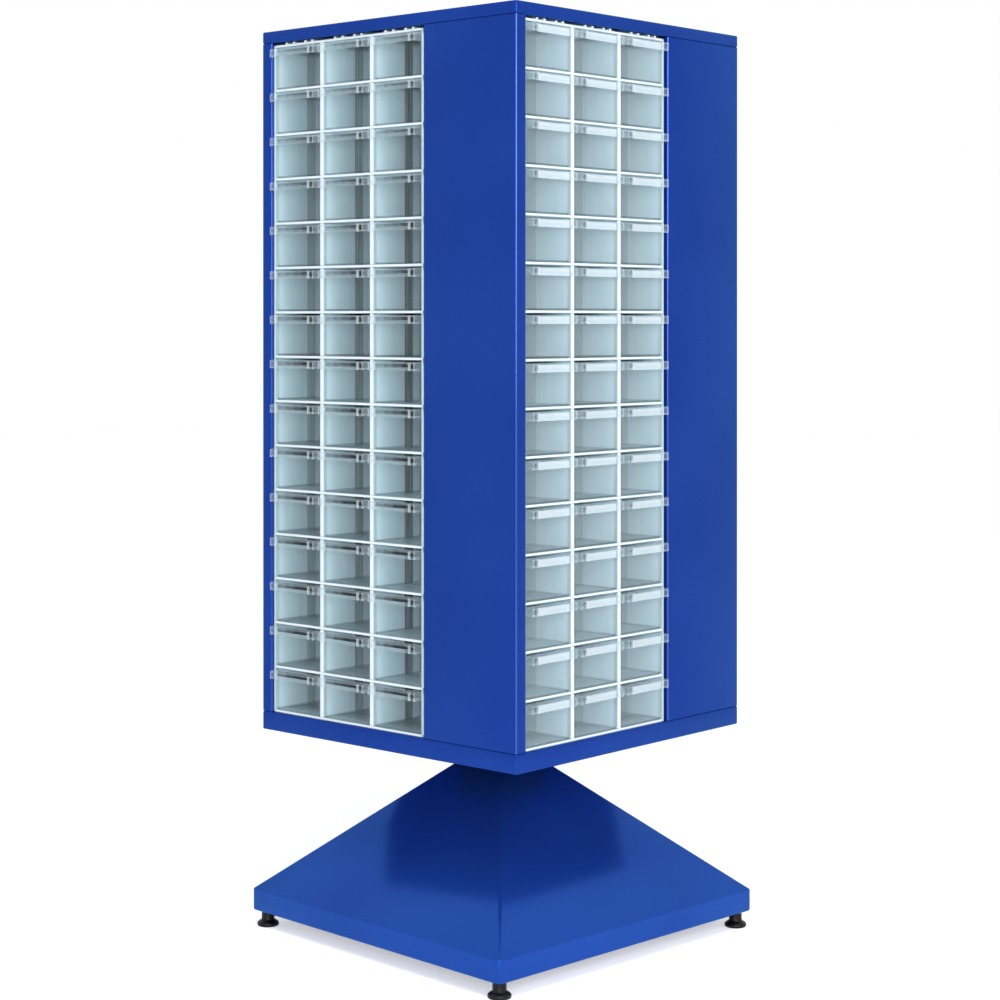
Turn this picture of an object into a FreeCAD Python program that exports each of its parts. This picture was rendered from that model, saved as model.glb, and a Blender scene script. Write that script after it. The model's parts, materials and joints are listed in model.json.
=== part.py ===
# Rotating parts carousel: a square sheet-steel tower with a block of small clear drawers on each
# of its four sides, turning on a roller bearing above a pyramid-shaped floor base.
# Frame: millimetres, +Z up, origin on the floor under the turning axis. The front side faces -Y.
import FreeCAD, Part
import Sketcher
import os
import re

doc = FreeCAD.newDocument("PartsCarousel")
Z = FreeCAD.Vector(0, 0, 1)
ROLLER_COUNT = 6
LOOSE_RADIUS = 100  # new sketch geometry is drawn on this radius, and its constraints then place it

SIZES = (
    # drawer blocks, round which the tower is built
    ("columnCount", 3, "drawers side by side in a block"),
    ("rowCount", 15, "drawers above one another in a block"),
    ("columnPitch", 126, "width of one cell"),
    ("rowPitch", 80.7, "height of one cell"),
    ("shelfThickness", 4.4, "shelf between two rows"),
    ("sideWall", 5, "outer wall of a block"),
    ("dividerThickness", 10, "wall between two columns"),
    ("blockDepth", 190, "depth of a block, with its back"),
    ("blockRecess", 5, "block front behind the tower's face"),
    ("blockGap", 22, "space between a block's end and the back of the block round the corner"),
    ("blockHeadroom", 4.1, "space between a block and the cap"),
    ("backThickness", 2, "back sheet of a block"),
    # drawers
    ("drawerPlay", 1, "play at each side of a drawer"),
    ("drawerHeadroom", 3.3, "space above a drawer"),
    ("drawerSetback", 1.5, "drawer front behind the block front"),
    ("drawerBackPlay", 4, "space behind a closed drawer"),
    ("drawerWall", 2, "side and back walls of a drawer"),
    ("drawerFront", 2.5, "front wall of a drawer"),
    ("drawerFloor", 2, "floor of a drawer"),
    ("lipReach", 14, "pull lip ahead of the block front"),
    ("lipApron", 15, "height of the pull lip"),
    ("lipWall", 2, "wall of the pull lip"),
    # tower casing
    ("sheetThickness", 1.5, "steel sheet of the tower"),
    ("bendRadius", 3, "outside radius of a sheet bend"),
    ("topBand", 22, "height of the cap's side band"),
    ("bottomBand", 34, "height of the tray's side band"),
    ("bandFlange", 30, "inward flange of the cap and the tray"),
    ("stripWidth", 25, "narrow leg of a corner panel"),
    ("panelReturn", 20, "inward fold along the wide leg and at the panel's ends"),
    ("stripReturn", 12, "inward fold along the narrow leg"),
    ("panelGap", 12.5, "open gap between a drawer block and the wide leg beside it"),
    ("coreWall", 1.5, "wall of the square inner core"),
    # base
    ("baseTurn", -3.63, "turn of the base under the tower, in degrees"),
    ("coverWidth", 650, "outside width of the base skirt"),
    ("skirtHeight", 40, "height of the skirt"),
    ("coverRise", 233, "rise of the pyramid above the skirt"),
    ("coverTopWidth", 120, "flat top of the pyramid"),
    ("coverWall", 2, "sheet of the base cover"),
    ("coverRadius", 6, "rounded upright corners of the skirt"),
    ("coverFlange", 34, "inward flange under the skirt"),
    ("footRelief", 1, "gap between that flange and a foot"),
    ("armWidth", 30, "width of a base bar"),
    ("armHeight", 30, "height of a base bar"),
    ("armSetback", 20, "bar end short of the skirt corner, along the diagonal"),
    ("pedestalWidth", 90, "square tube up the middle of the base"),
    ("pedestalWall", 4, "wall of that tube"),
    ("pedestalPlay", 0.5, "gap between the tube and the cover's top"),
    ("pedestalRise", 4, "tube above the cover's top"),
    ("seatWidth", 140, "square seat plate on the pedestal"),
    ("seatThickness", 12, "thickness of the seat plate, on which the rollers run"),
    ("slotPlay", 0.5, "play of a stud in its slot"),
    # feet
    ("footHeight", 28, "floor to skirt"),
    ("footInset", 20.6, "foot centre from both sides of the base"),
    ("footPadDiameter", 40, "foot pad on the floor"),
    ("footPadHeight", 13, "height of the round pad"),
    ("footFlats", 24, "hexagon above the pad, across flats"),
    ("studDiameter", 10, "levelling stud"),
    ("studSpare", 6, "stud above its bar"),
    # bearing and post
    ("turntableGap", 66, "pyramid top to tower bottom"),
    ("postDiameter", 60, "fixed centre post"),
    ("postWall", 4, "wall of the post"),
    ("postHeadroom", 12, "post top below the cap"),
    ("runningPlay", 0.05, "radial play of the post in its bearings"),
    ("postClearance", 0.5, "radial clearance where the post only passes through"),
    ("rollerDiameter", 10, "bearing roller"),
    ("rollerLength", 14, "length of a roller"),
    ("rollerCircle", 96, "circle through the roller centres"),
    ("rollerPlay", 0.1, "gap above and below a roller"),
    ("cageThickness", 3, "thickness of the cage"),
    ("cageWidth", 22, "width of the cage between its flats"),
    ("cagePlay", 0.4, "roller in its window"),
    ("hubPlateInset", 5, "edge of the hub's plate inside the faces of the core above it"),
    ("hubPlateThickness", 8, "thickness of that plate"),
    ("hubWidth", 124, "square boss of the hub"),
    ("guideDrop", 36, "guide plate below the cap"),
    ("guideThickness", 12, "nylon guide plate across the core"),
)

sheet = doc.addObject("Spreadsheet::Sheet", "Sizes")
for line, (alias, value, note) in enumerate(SIZES, 1):
    sheet.set(f"A{line}", note)
    sheet.set(f"B{line}", str(value))
    sheet.setAlias(f"B{line}", alias)
doc.recompute()
size = {alias: float(sheet.get(alias)) for alias, _, _ in SIZES}

# lengths and levels worked out from the sheet, written in its own words
BLOCK_WIDTH = "(columnCount * columnPitch)"
BLOCK_HEIGHT = "(rowCount * rowPitch + shelfThickness)"
CABINET_WIDTH = f"(stripWidth + {BLOCK_WIDTH} + blockGap + blockDepth + blockRecess)"
CABINET_HEIGHT = f"(bottomBand + {BLOCK_HEIGHT} + blockHeadroom + topBand)"
HALF = f"({CABINET_WIDTH} / 2)"
SKIRT_TOP = "(footHeight + skirtHeight)"
COVER_TOP = f"({SKIRT_TOP} + coverRise)"
SEAT_BOTTOM = f"({COVER_TOP} + pedestalRise)"
SEAT_TOP = f"({SEAT_BOTTOM} + seatThickness)"
ROLLER_CENTRE = f"({SEAT_TOP} + rollerPlay + rollerDiameter / 2)"
HUB_BOTTOM = f"({SEAT_TOP} + 2 * rollerPlay + rollerDiameter)"
CABINET_BOTTOM = f"({COVER_TOP} + turntableGap)"
CABINET_TOP = f"({CABINET_BOTTOM} + {CABINET_HEIGHT})"
BLOCK_BOTTOM = f"({CABINET_BOTTOM} + bottomBand)"
CAP_BOTTOM = f"({CABINET_TOP} - topBand)"
BLOCK_LEFT = f"(stripWidth - {HALF})"
BLOCK_FRONT = f"(blockRecess - {HALF})"
BLOCK_BACK = f"({BLOCK_FRONT} + blockDepth)"
WALL_DEPTH = "(blockDepth - backThickness)"
CORE_WIDTH = f"(-2 * {BLOCK_BACK})"
CORE_HOLLOW = f"({CORE_WIDTH} - 2 * coreWall)"
HUB_PLATE_BOTTOM = f"({CABINET_BOTTOM} - hubPlateThickness)"
ARM_BOTTOM = "(footHeight + coverWall)"
ARM_TOP = f"({ARM_BOTTOM} + armHeight)"
FOOT_CENTRE = "(coverWidth / 2 - footInset)"
GUIDE_BOTTOM = f"({CABINET_TOP} - guideDrop)"


def bound(text):
    """The expression with every sheet alias in it named in full."""
    return re.sub(r"[A-Za-z]\w*", lambda m: f"Sizes.{m[0]}" if m[0] in size else m[0], text)


def newBody(label, turn=None):
    """A body called label, turned about +Z by an expression in degrees."""
    body = doc.addObject("PartDesign::Body", "Body_" + label)
    body.Label = label
    body.AllowCompound = True
    if turn:
        body.Placement = FreeCAD.Placement(FreeCAD.Vector(), FreeCAD.Rotation(Z, 1))
        body.setExpression("Placement.Rotation.Angle", bound(turn))
    return body


def datum(body, role):
    return next(o for o in body.Origin.OriginFeatures if o.Role == role)


def sketchOn(body, role, offset="0"):
    """A sketch on one of the body's origin planes, moved along the plane's normal by offset."""
    sketch = body.newObject("Sketcher::SketchObject", "Sketch")
    sketch.AttachmentSupport = [(datum(body, role), "")]
    sketch.MapMode = "FlatFace"
    sketch.setExpression("AttachmentOffset.Base.z", bound(offset))
    return sketch


def fixPoint(sketch, geometry, end, x, y):
    """Hold a point of the sketch at x and y, each an expression."""
    for kind, text in (("DistanceX", x), ("DistanceY", y)):
        index = sketch.addConstraint(Sketcher.Constraint(kind, -1, 1, geometry, end, 1.0))
        sketch.setExpression(f"Constraints[{index}]", bound(text))


def outline(sketch, corners):
    """A closed outline through corners, each a pair of expressions."""
    count = len(corners)
    first = sketch.GeometryCount
    # the corners start on a circle, in their order, and the constraints move them from there
    loose = FreeCAD.Vector(LOOSE_RADIUS, 0, 0)
    start = [FreeCAD.Rotation(Z, 360 * n / count).multVec(loose) for n in range(count)]
    for n in range(count):
        sketch.addGeometry(Part.LineSegment(start[n], start[(n + 1) % count]), False)
    for n in range(count):
        following = first + (n + 1) % count
        sketch.addConstraint(Sketcher.Constraint("Coincident", first + n, 2, following, 1))
    for n, (x, y) in enumerate(corners):
        fixPoint(sketch, first + n, 1, x, y)
    return sketch


def rectangle(sketch, left, right, low, high):
    return outline(sketch, ((left, low), (right, low), (right, high), (left, high)))


def square(sketch, width):
    """A square about the sketch's origin."""
    half = f"({width}) / 2"
    return rectangle(sketch, f"-{half}", half, f"-{half}", half)


def hexagonAcross(sketch, flats, x="0", y="0"):
    """A hexagon of a width across flats, one of which faces +X."""
    flat = f"({flats}) / 2"
    point = f"({flats}) / sqrt(3)"
    corners = (("0", point), (flat, f"{point} / 2"), (flat, f"-{point} / 2"),
               ("0", f"-{point}"), (f"-{flat}", f"-{point} / 2"), (f"-{flat}", f"{point} / 2"))
    return outline(sketch, [(f"{x} + {dx}", f"{y} + {dy}") for dx, dy in corners])


def disc(sketch, diameter, x="0", y="0"):
    index = sketch.addGeometry(Part.Circle(FreeCAD.Vector(), Z, LOOSE_RADIUS), False)
    fixPoint(sketch, index, 3, x, y)
    named = sketch.addConstraint(Sketcher.Constraint("Diameter", index, 2.0 * LOOSE_RADIUS))
    sketch.setExpression(f"Constraints[{named}]", bound(diameter))
    return sketch


def pad(body, sketch, length, symmetric=False):
    feature = body.newObject("PartDesign::Pad", "Pad")
    feature.Profile = sketch
    feature.SideType = "Symmetric" if symmetric else "One side"
    feature.setExpression("Length", bound(length))
    doc.recompute()
    return feature


def pocket(body, sketch, depth):
    """Cut downwards from the sketch, against its normal."""
    before = body.Shape.Volume
    feature = body.newObject("PartDesign::Pocket", "Pocket")
    feature.Profile = sketch
    feature.setExpression("Length", bound(depth))
    doc.recompute()
    if body.Shape.Volume >= before:
        raise RuntimeError(f"{body.Label}: a pocket removes nothing")
    return feature


def roundEdges(body, feature, chosen, radius):
    """Fillet the feature's edges for which chosen(edge) is true."""
    names = [f"Edge{n}" for n, edge in enumerate(feature.Shape.Edges, 1) if chosen(edge)]
    fillet = body.newObject("PartDesign::Fillet", "Fillet")
    fillet.Base = (feature, names)
    fillet.setExpression("Radius", bound(radius))
    doc.recompute()
    return fillet


def upright(edge):
    return edge.BoundBox.XLength < 1e-6 and edge.BoundBox.YLength < 1e-6


def patternAround(body, features, count=4):
    """Repeat the features about +Z."""
    pattern = body.newObject("PartDesign::PolarPattern", "Around")
    pattern.Originals = features
    pattern.Axis = (datum(body, "Z_Axis"), [""])
    pattern.Angle = 360
    pattern.Occurrences = count
    body.Tip = pattern
    doc.recompute()
    return pattern


def patternUpAndAround(body, features, count, spacing, across=None):
    """Repeat the features upwards, then sideways if across is a count and spacing, then about +Z."""
    steps = []
    multi = body.newObject("PartDesign::MultiTransform", "Repeat")
    for role, number, step in [("Z_Axis", count, spacing)] + ([("X_Axis", *across)] if across else []):
        line = body.newObject("PartDesign::LinearPattern", "Line")
        line.Direction = (datum(body, role), [""])
        line.Mode = "Spacing"
        line.setExpression("Offset", bound(step))
        line.setExpression("Occurrences", bound(number))
        steps.append(line)
    around = body.newObject("PartDesign::PolarPattern", "Around")
    around.Axis = (datum(body, "Z_Axis"), [""])
    around.Angle = 360
    around.Occurrences = 4
    multi.Originals = features
    multi.Transformations = steps + [around]
    body.Tip = multi
    doc.recompute()
    return multi


# the base, all turned together under the tower


def pyramid(body, kind, bottom, top, bottomWidth, topWidth):
    """A square pyramid without its point, between two levels, added or cut by a wedge feature."""
    wedge = body.newObject(f"PartDesign::{kind}Wedge", "Pyramid")
    # on this plane the wedge's own Y axis points up
    wedge.AttachmentSupport = [(datum(body, "XZ_Plane"), "")]
    wedge.MapMode = "FlatFace"
    sizes = {"Ymin": bottom, "Ymax": top}
    for axis in "XZ":
        sizes[axis + "min"] = f"-({bottomWidth}) / 2"
        sizes[axis + "max"] = f"({bottomWidth}) / 2"
        sizes[axis + "2min"] = f"-({topWidth}) / 2"
        sizes[axis + "2max"] = f"({topWidth}) / 2"
    for name, text in sizes.items():
        wedge.setExpression(name, bound(text))
    doc.recompute()
    return wedge


def baseCover():
    """Pyramid and skirt folded from one sheet, open below, with a square opening at the top."""
    body = newBody("base_cover", "baseTurn")
    pad(body, square(sketchOn(body, "XY_Plane", "footHeight"), "coverWidth"), "skirtHeight")
    outside = pyramid(body, "Additive", SKIRT_TOP, COVER_TOP, "coverWidth", "coverTopWidth")
    roundEdges(body, outside, upright, "coverRadius")
    # the inside faces lie one sheet behind the outside ones, so their bends are a little lower
    run = "((coverWidth - coverTopWidth) / 2)"
    slant = f"sqrt(coverRise ^ 2 + {run} ^ 2)"
    bend = f"({SKIRT_TOP} - coverWall * ({slant} - coverRise) / {run})"
    inside = "(coverWidth - 2 * coverWall)"
    insideTop = f"(coverTopWidth - 2 * coverWall * ({slant} - {run}) / coverRise)"
    pocket(body, square(sketchOn(body, "XY_Plane", bend), inside), f"{bend} - {ARM_BOTTOM}")
    pyramid(body, "Subtractive", bend, f"{COVER_TOP} - coverWall", inside, insideTop)
    hole = square(sketchOn(body, "XY_Plane", COVER_TOP), "pedestalWidth + 2 * pedestalPlay")
    pocket(body, hole, "coverWall")
    # the floor opening leaves a flange along each side, cut away round the feet
    opening = square(sketchOn(body, "XY_Plane", ARM_BOTTOM), "coverWidth - 2 * coverFlange")
    pocket(body, opening, "coverWall")
    near = f"({FOOT_CENTRE} - footFlats / sqrt(3) - footRelief)"
    far = "(coverWidth / 2 - coverWall)"
    relief = rectangle(sketchOn(body, "XY_Plane", ARM_BOTTOM), near, far, near, far)
    patternAround(body, [pocket(body, relief, "coverWall")])
    return body


def baseFrame():
    """Two crossed bars with slotted ends, a square pedestal and its seat plate, welded into one."""
    body = newBody("base_frame", "baseTurn")
    reach = "(coverWidth / 2 * sqrt(2) - armSetback)"
    half = "armWidth / 2"
    slot = "(studDiameter / 2 + slotPlay)"
    slotEnd = f"({FOOT_CENTRE} * sqrt(2) - {slot})"
    arm = ((half, half), (reach, half), (reach, slot), (slotEnd, slot),
           (slotEnd, f"-{slot}"), (reach, f"-{slot}"), (reach, f"-{half}"))
    quarterTurns = (
        lambda x, y: (x, y), lambda x, y: (y, f"-({x})"),
        lambda x, y: (f"-({x})", f"-({y})"), lambda x, y: (f"-({y})", x))
    plan = sketchOn(body, "XY_Plane", ARM_BOTTOM)
    plan.AttachmentOffset = FreeCAD.Placement(FreeCAD.Vector(), FreeCAD.Rotation(Z, 45))
    outline(plan, [turned(x, y) for turned in quarterTurns for x, y in arm])
    pad(body, plan, "armHeight")
    tube = sketchOn(body, "XY_Plane", ARM_TOP)
    square(tube, "pedestalWidth")
    square(tube, "pedestalWidth - 2 * pedestalWall")
    pad(body, tube, f"{SEAT_BOTTOM} - {ARM_TOP}")
    pad(body, square(sketchOn(body, "XY_Plane", SEAT_BOTTOM), "seatWidth"), "seatThickness")
    return body


def footPads():
    """Round pads with a hexagon for a spanner, which carries the bar."""
    body = newBody("foot_pads", "baseTurn")
    sole = disc(sketchOn(body, "XY_Plane"), "footPadDiameter", FOOT_CENTRE, FOOT_CENTRE)
    foot = pad(body, sole, "footPadHeight")
    section = sketchOn(body, "XY_Plane", "footPadHeight")
    hexagonAcross(section, "footFlats", FOOT_CENTRE, FOOT_CENTRE)
    neck = pad(body, section, f"{ARM_BOTTOM} - footPadHeight")
    patternAround(body, [foot, neck])
    return body


def footStuds():
    """Threaded studs from the hexagons up through the slotted bar ends."""
    body = newBody("foot_studs", "baseTurn")
    section = sketchOn(body, "XY_Plane", ARM_BOTTOM)
    disc(section, "studDiameter", FOOT_CENTRE, FOOT_CENTRE)
    patternAround(body, [pad(body, section, "armHeight + studSpare")])
    return body


def centrePost():
    """Fixed tube up the whole tower, standing on the seat plate."""
    body = newBody("centre_post", "baseTurn")
    section = sketchOn(body, "XY_Plane", SEAT_TOP)
    disc(section, "postDiameter")
    disc(section, "postDiameter - 2 * postWall")
    pad(body, section, f"{CABINET_TOP} - postHeadroom - {SEAT_TOP}")
    return body


# the bearing between base and tower


def bearingCage():
    """A flat six-sided ring with a window round the roller in each side."""
    body = newBody("bearing_cage")
    ring = sketchOn(body, "XY_Plane", f"{ROLLER_CENTRE} - cageThickness / 2")
    hexagonAcross(ring, "rollerCircle + cageWidth")
    hexagonAcross(ring, "rollerCircle - cageWidth")
    pad(body, ring, "cageThickness")
    window = sketchOn(body, "XY_Plane", f"{ROLLER_CENTRE} + cageThickness / 2")
    halfLength = "(rollerLength / 2 + cagePlay)"
    halfWidth = "(rollerDiameter / 2 + cagePlay)"
    rectangle(
        window, f"rollerCircle / 2 - {halfLength}", f"rollerCircle / 2 + {halfLength}",
        f"-{halfWidth}", halfWidth)
    patternAround(body, [pocket(body, window, "cageThickness")], ROLLER_COUNT)
    return body


def bearingRoller(number):
    """One of the rollers that lie radially in the cage."""
    body = newBody(f"bearing_roller_{number}", str((number - 1) * 360 / ROLLER_COUNT))
    end = sketchOn(body, "YZ_Plane", "(rollerCircle - rollerLength) / 2")
    disc(end, "rollerDiameter", "0", ROLLER_CENTRE)
    pad(body, end, "rollerLength")
    return body


def turntableHub():
    """Square boss that runs on the post, under a wider plate that carries the tower."""
    body = newBody("turntable_hub")
    pad(body, square(sketchOn(body, "XY_Plane", HUB_BOTTOM), "hubWidth"), f"{HUB_PLATE_BOTTOM} - {HUB_BOTTOM}")
    plate = square(sketchOn(body, "XY_Plane", HUB_PLATE_BOTTOM), f"{CORE_WIDTH} - 2 * hubPlateInset")
    pad(body, plate, "hubPlateThickness")
    bore = disc(sketchOn(body, "XY_Plane", CABINET_BOTTOM), "postDiameter + 2 * runningPlay")
    pocket(body, bore, f"{CABINET_BOTTOM} - {HUB_BOTTOM}")
    return body


# the tower's sheet metal


def bottomTray():
    """Folded pan: floor, side band and an inward flange on which blocks and panels stand."""
    body = newBody("bottom_tray")
    block = pad(body, square(sketchOn(body, "XY_Plane", CABINET_BOTTOM), CABINET_WIDTH), "bottomBand")
    roundEdges(body, block, upright, "bendRadius")
    inside = square(
        sketchOn(body, "XY_Plane", f"{BLOCK_BOTTOM} - sheetThickness"), f"{CABINET_WIDTH} - 2 * sheetThickness")
    pocket(body, inside, "bottomBand - 2 * sheetThickness")
    mouth = square(sketchOn(body, "XY_Plane", BLOCK_BOTTOM), f"{CABINET_WIDTH} - 2 * bandFlange")
    pocket(body, mouth, "sheetThickness")
    hole = square(
        sketchOn(body, "XY_Plane", f"{CABINET_BOTTOM} + sheetThickness"),
        "postDiameter + 2 * postClearance")
    pocket(body, hole, "sheetThickness")
    return body


def topCap():
    """The same pan upside down, as the lid of the tower."""
    body = newBody("top_cap")
    block = pad(body, square(sketchOn(body, "XY_Plane", CAP_BOTTOM), CABINET_WIDTH), "topBand")
    roundEdges(body, block, upright, "bendRadius")
    inside = square(
        sketchOn(body, "XY_Plane", f"{CABINET_TOP} - sheetThickness"), f"{CABINET_WIDTH} - 2 * sheetThickness")
    pocket(body, inside, "topBand - 2 * sheetThickness")
    mouth = square(
        sketchOn(body, "XY_Plane", f"{CAP_BOTTOM} + sheetThickness"), f"{CABINET_WIDTH} - 2 * bandFlange")
    pocket(body, mouth, "sheetThickness")
    return body


def cornerPanel(side, turn):
    """Blank panel round the corner at a side's right end: a wide leg, a narrow leg, folded edges."""
    body = newBody(f"corner_panel_{side}", turn)
    edge = f"({BLOCK_LEFT} + {BLOCK_WIDTH} + panelGap)"
    wall = "sheetThickness"
    strip = f"(stripWidth - {HALF})"
    section = sketchOn(body, "XY_Plane", BLOCK_BOTTOM)
    outline(section, (
        (edge, f"panelReturn - {HALF}"), (edge, f"-{HALF}"), (HALF, f"-{HALF}"), (HALF, strip),
        (f"{HALF} - stripReturn", strip), (f"{HALF} - stripReturn", f"{strip} - {wall}"),
        (f"{HALF} - {wall}", f"{strip} - {wall}"), (f"{HALF} - {wall}", f"{wall} - {HALF}"),
        (f"{edge} + {wall}", f"{wall} - {HALF}"), (f"{edge} + {wall}", f"panelReturn - {HALF}")))
    sheetMetal = pad(body, section, f"{CAP_BOTTOM} - {BLOCK_BOTTOM}")
    # the outline's second, third and fourth corners are the bends
    bends = [section.Geometry[n].StartPoint for n in (1, 2, 3)]
    roundEdges(
        body, sheetMetal,
        lambda edge: upright(edge) and any(
            abs(edge.CenterOfMass.x - bend.x) + abs(edge.CenterOfMass.y - bend.y) < 1e-3 for bend in bends),
        "bendRadius")
    for level in (BLOCK_BOTTOM, f"{CAP_BOTTOM} - {wall}"):
        fold = rectangle(
            sketchOn(body, "XY_Plane", level),
            f"{edge} + {wall}", f"{HALF} - {wall}", f"{wall} - {HALF}", f"panelReturn - {HALF}")
        pad(body, fold, wall)
    return body


def innerCore():
    """Square tube round the post, from the tray's floor to the cap: the tower's spine."""
    body = newBody("inner_core")
    section = sketchOn(body, "XY_Plane", f"{CABINET_BOTTOM} + sheetThickness")
    square(section, CORE_WIDTH)
    square(section, CORE_HOLLOW)
    pad(body, section, f"{CABINET_HEIGHT} - 2 * sheetThickness")
    return body


def topGuide():
    """Nylon plate across the core that keeps the top of the tower in line with the post."""
    body = newBody("top_guide")
    section = sketchOn(body, "XY_Plane", GUIDE_BOTTOM)
    square(section, CORE_HOLLOW)
    disc(section, "postDiameter + 2 * runningPlay")
    pad(body, section, "guideThickness")
    return body


# the drawer blocks, drawn on the front side and repeated on the other three


def blockSides():
    """Outer walls of the four blocks."""
    body = newBody("block_sides")
    walls = []
    for left in (BLOCK_LEFT, f"({BLOCK_LEFT} + {BLOCK_WIDTH} - sideWall)"):
        section = rectangle(
            sketchOn(body, "XY_Plane", BLOCK_BOTTOM),
            left, f"{left} + sideWall", BLOCK_FRONT, f"{BLOCK_FRONT} + {WALL_DEPTH}")
        walls.append(pad(body, section, BLOCK_HEIGHT))
    patternAround(body, walls)
    return body


def blockBacks():
    """Back sheets of the four blocks, against the core."""
    body = newBody("block_backs")
    section = rectangle(
        sketchOn(body, "XY_Plane", BLOCK_BOTTOM),
        BLOCK_LEFT, f"{BLOCK_LEFT} + {BLOCK_WIDTH}", f"{BLOCK_BACK} - backThickness", BLOCK_BACK)
    patternAround(body, [pad(body, section, BLOCK_HEIGHT)])
    return body


def drawerShelves():
    """Shelves across each block, one under every row and one on top."""
    body = newBody("drawer_shelves")
    section = rectangle(
        sketchOn(body, "XY_Plane", BLOCK_BOTTOM),
        f"{BLOCK_LEFT} + sideWall", f"{BLOCK_LEFT} + {BLOCK_WIDTH} - sideWall",
        BLOCK_FRONT, f"{BLOCK_FRONT} + {WALL_DEPTH}")
    shelf = pad(body, section, "shelfThickness")
    patternUpAndAround(body, [shelf], "rowCount + 1", "rowPitch")
    return body


def drawerDividers():
    """Walls between the columns, each as high as one row."""
    body = newBody("drawer_dividers")
    middle = f"({BLOCK_LEFT} + columnPitch)"
    section = rectangle(
        sketchOn(body, "XY_Plane", f"{BLOCK_BOTTOM} + shelfThickness"),
        f"{middle} - dividerThickness / 2", f"{middle} + dividerThickness / 2",
        BLOCK_FRONT, f"{BLOCK_FRONT} + {WALL_DEPTH}")
    wall = pad(body, section, "rowPitch - shelfThickness")
    patternUpAndAround(body, [wall], "rowCount", "rowPitch", ("columnCount - 1", "columnPitch"))
    return body


def drawerPattern(label, hollowLip):
    """One drawer on the middle of its shelf, its front plane at the block front's y = 0."""
    body = newBody(label)
    width = "(columnPitch - dividerThickness - 2 * drawerPlay)"
    height = "(rowPitch - shelfThickness - drawerHeadroom)"
    back = f"({WALL_DEPTH} - drawerBackPlay)"
    tub = rectangle(
        sketchOn(body, "XY_Plane"), f"-{width} / 2", f"{width} / 2", "drawerSetback", back)
    pad(body, tub, height)
    inside = rectangle(
        sketchOn(body, "XY_Plane", height),
        f"drawerWall - {width} / 2", f"{width} / 2 - drawerWall",
        "drawerSetback + drawerFront", f"{back} - drawerWall")
    pocket(body, inside, f"{height} - drawerFloor")
    # the lip hangs from a ledge along the top of the front, and a drawer that stays shut has it solid
    under = f"{height} - lipApron"
    ledge = f"{height} - lipWall"
    profile = [("drawerSetback", height), ("-lipReach", height), ("-lipReach", under)]
    if hollowLip:
        profile += [("lipWall - lipReach", under), ("lipWall - lipReach", ledge)]
    profile.append(("drawerSetback", ledge))
    pad(body, outline(sketchOn(body, "YZ_Plane"), profile), width, symmetric=True)
    return body


SIDES = ("front", "right", "back", "left")


def placedDrawer(pattern, side, row, column, label):
    """A copy of the drawer in a cell: row 1 is the top one, column 1 the left one seen from outside."""
    copy = doc.addObject("Part::Compound", "Drawer")
    copy.Label = label
    copy.Links = [pattern]
    x = f"({BLOCK_LEFT} + columnPitch * ({column} - 0.5))"
    y = BLOCK_FRONT
    quarter = SIDES.index(side)
    turned = ((x, y), (f"-{y}", x), (f"-{x}", f"-{y}"), (y, f"-{x}"))[quarter]
    copy.Placement = FreeCAD.Placement(
        FreeCAD.Vector(), FreeCAD.Rotation(Z, 90 * quarter))
    copy.setExpression("Placement.Base.x", bound(turned[0]))
    copy.setExpression("Placement.Base.y", bound(turned[1]))
    copy.setExpression(
        "Placement.Base.z",
        bound(f"{BLOCK_BOTTOM} + shelfThickness + rowPitch * (rowCount - {row})"))
    return copy


def slidingColumn(side, row):
    """The column of the drawer that slides in this row, or 0. Every second row has one."""
    if row % 2:
        return 0
    return (row // 2 + SIDES.index(side)) % int(size["columnCount"]) + 1


def drawerSide(slidingPattern, closedPattern, side):
    """All drawers of one side: the sliding ones each by itself, the others as one group."""
    sliding, closed = [], []
    for row in range(1, int(size["rowCount"]) + 1):
        for column in range(1, int(size["columnCount"]) + 1):
            if column == slidingColumn(side, row):
                label = f"drawer_{side}_row{row:02d}_column{column}"
                sliding.append(placedDrawer(slidingPattern, side, row, column, label))
            else:
                closed.append(placedDrawer(closedPattern, side, row, column, "closed_drawer"))
    group = doc.addObject("Part::Compound", "Closed")
    group.Label = f"closed_drawers_{side}"
    group.Links = closed
    return sliding + [group]


parts = [
    baseCover(), baseFrame(), footPads(), footStuds(), centrePost(), bearingCage(), turntableHub(),
    bottomTray(), topCap(), innerCore(), topGuide(),
]
for number in range(1, ROLLER_COUNT + 1):
    parts.append(bearingRoller(number))
for quarter, side in enumerate(SIDES):
    parts.append(cornerPanel(side, str(90 * quarter)))
parts += [blockSides(), blockBacks(), drawerShelves(), drawerDividers()]
slidingPattern = drawerPattern("sliding_pattern", True)
closedPattern = drawerPattern("closed_pattern", False)
for side in SIDES:
    parts += drawerSide(slidingPattern, closedPattern, side)
doc.recompute()

for thing in doc.Objects:
    if "Invalid" in thing.State or "Error" in thing.State:
        raise RuntimeError(f"{thing.Label} ({thing.Name}) failed: {thing.State}")
for part in parts:
    if part.Shape.isNull() or not part.Shape.isValid() or not part.Shape.Solids:
        raise RuntimeError(f"{part.Label} has no valid solid")

os.makedirs("parts", exist_ok=True)
for part in parts:
    part.Shape.exportStep(f"parts/{part.Label}.step")
    box = part.Shape.BoundBox
    print(
        f"{part.Label}: {len(part.Shape.Solids)} solids, {part.Shape.Volume / 1000:.0f} cm3,"
        f" z {box.ZMin:.1f} to {box.ZMax:.1f}")
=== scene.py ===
# Looks of the rotating parts carousel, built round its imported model. Metres, +Z up, the front side faces -Y
import json
import math

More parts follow.
